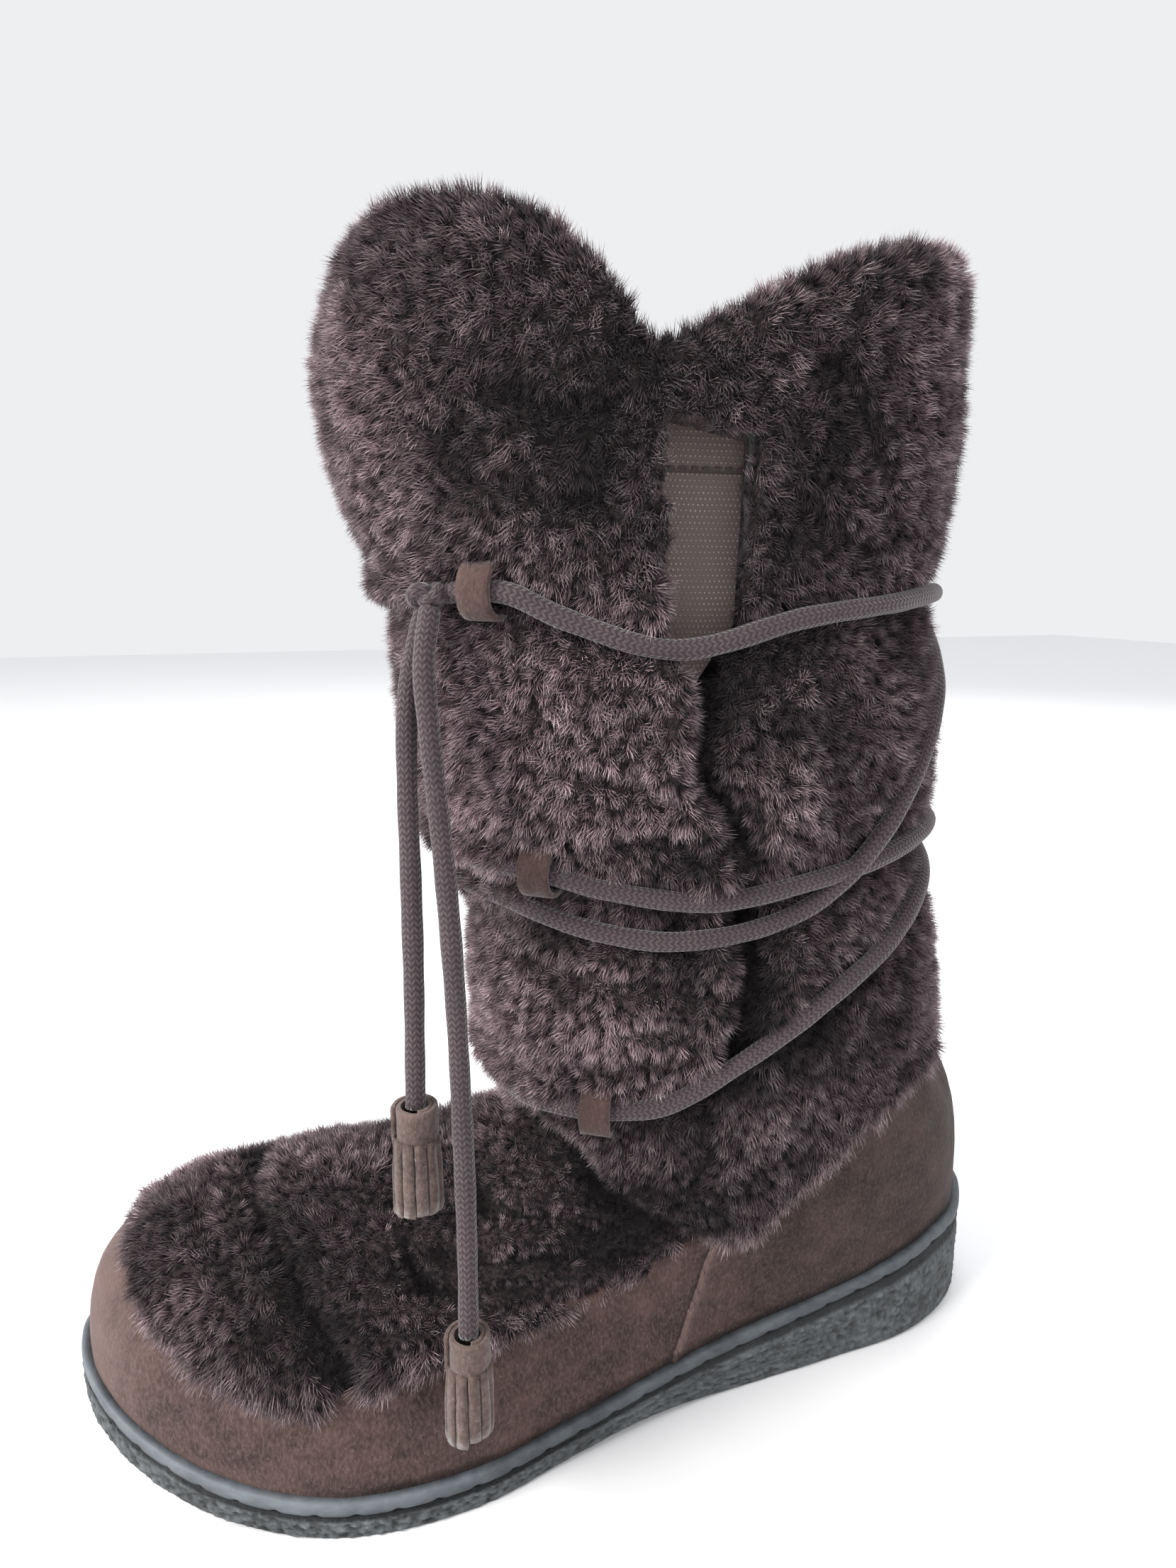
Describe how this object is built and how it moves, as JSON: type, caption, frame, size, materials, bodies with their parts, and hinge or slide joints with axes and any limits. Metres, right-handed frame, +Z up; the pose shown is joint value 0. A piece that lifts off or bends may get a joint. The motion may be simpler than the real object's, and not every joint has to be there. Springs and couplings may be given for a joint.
{
  "type": "winter boot",
  "caption": "Left winter boot with a pile shaft and vamp, suede lower, low wedge sole, wrapped round lace and hanging tassels.",
  "frame": {"origin": "centre of the bounding box's base in plan, on the floor that the boot stands on", "axes": "+Z up the shaft, +X towards the outer side of the foot, toe towards -Y"},
  "size_m": [0.1278, 0.275, 0.306],
  "materials": {
    "rubber": "matt crinkled crepe rubber, slate grey",
    "rim": "smooth satin rubber rim, slate grey",
    "insole": "short dark fleece",
    "pile": "dense sheared pile, dark brown with paler tips",
    "suede": "napped brown suede",
    "elastic": "ribbed woven elastic, taupe grey",
    "loop_suede": "napped suede strap",
    "lace": "round herringbone braid, taupe grey",
    "tassel_suede": "pale napped suede"
  },
  "bodies": {
    "root": {"outsole": "rubber", "welt": "rim", "insole": "insole", "upper": "pile", "toe_foxing": "suede", "heel_foxing": "suede", "gore": "elastic", "loop_front_top": "loop_suede", "loop_front_middle": "loop_suede", "loop_front_low": "loop_suede", "loop_back_top": "loop_suede", "loop_back_middle": "loop_suede", "lace_wraps": "lace", "lace_knot": "lace", "lace_end_short": "lace", "lace_end_long": "lace", "tassel_short": "tassel_suede", "tassel_long": "tassel_suede"}
  },
  "joints": []
}
